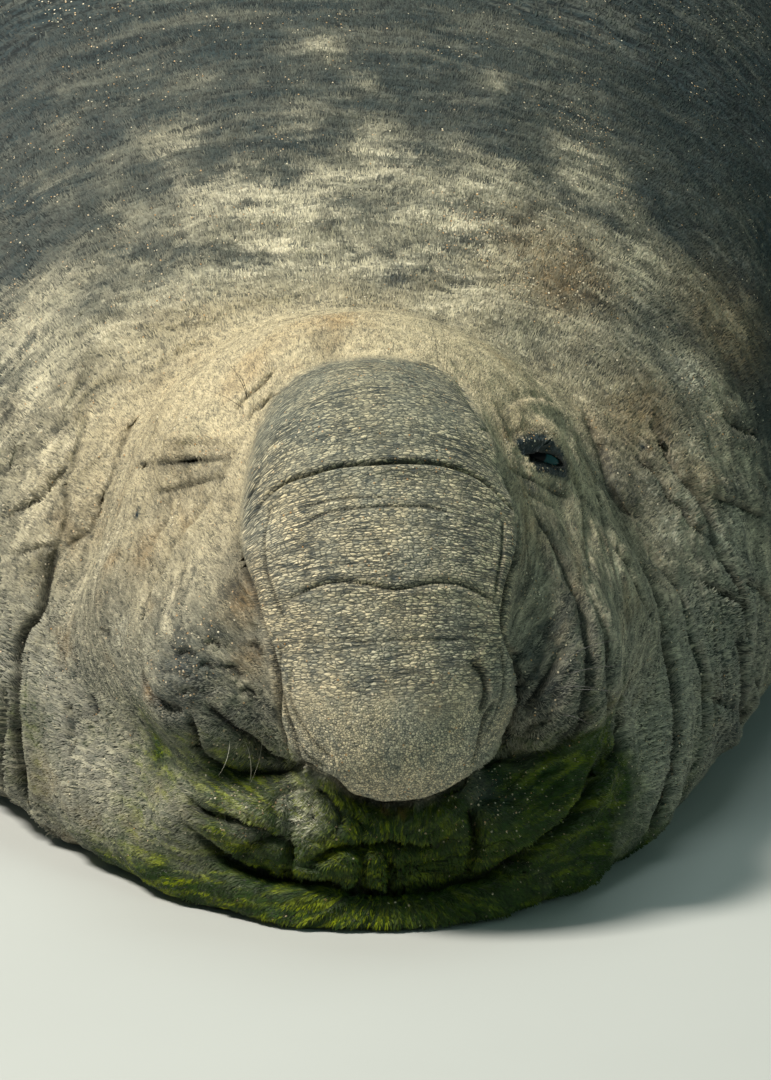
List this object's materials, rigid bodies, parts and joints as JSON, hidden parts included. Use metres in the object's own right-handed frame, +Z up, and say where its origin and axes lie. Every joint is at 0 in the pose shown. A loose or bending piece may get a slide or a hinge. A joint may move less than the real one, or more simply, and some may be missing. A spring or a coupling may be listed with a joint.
{
  "type": "elephant seal",
  "caption": "Life-size bull southern elephant seal asleep on its belly, chin on the ground, with a drooping proboscis, a folded neck, claws and hind flippers.",
  "frame": {"origin": "on the ground, under the middle of the whole length and width", "axes": "+Y runs from the proboscis to the hind flippers, +X to the animal's left side, +Z up"},
  "size_m": [1.7988, 4.8462, 0.9612],
  "materials": {
    "hide_face": "short tan fur over wrinkled hide",
    "hide_nose": "bare grey hide, cracked across and grained like sand",
    "hide_chin": "damp short fur with a yellow-green stain",
    "hide_body": "short slate-grey fur with cream streaks",
    "flipper": "dark short-furred hide over finger ridges",
    "eye": "wet and dark, with a blue-green glint",
    "claw": "dark horn"
  },
  "bodies": {
    "root": {"proboscis": "hide_nose", "head": "hide_face", "lower_jaw": "hide_chin", "throat": "hide_chin", "neck": "hide_body", "shoulders": "hide_body", "belly": "hide_body", "loin": "hide_body", "rump": "hide_body", "tail_stock": "hide_body", "tail": "flipper", "front_flipper_left": "flipper", "front_flipper_right": "flipper", "hind_flipper_left": "flipper", "hind_flipper_right": "flipper", "eye_left": "eye", "eye_right": "eye", "claw_left_1": "claw", "claw_left_2": "claw", "claw_left_3": "claw", "claw_left_4": "claw", "claw_left_5": "claw", "claw_right_1": "claw", "claw_right_2": "claw", "claw_right_3": "claw", "claw_right_4": "claw", "claw_right_5": "claw"}
  },
  "joints": []
}
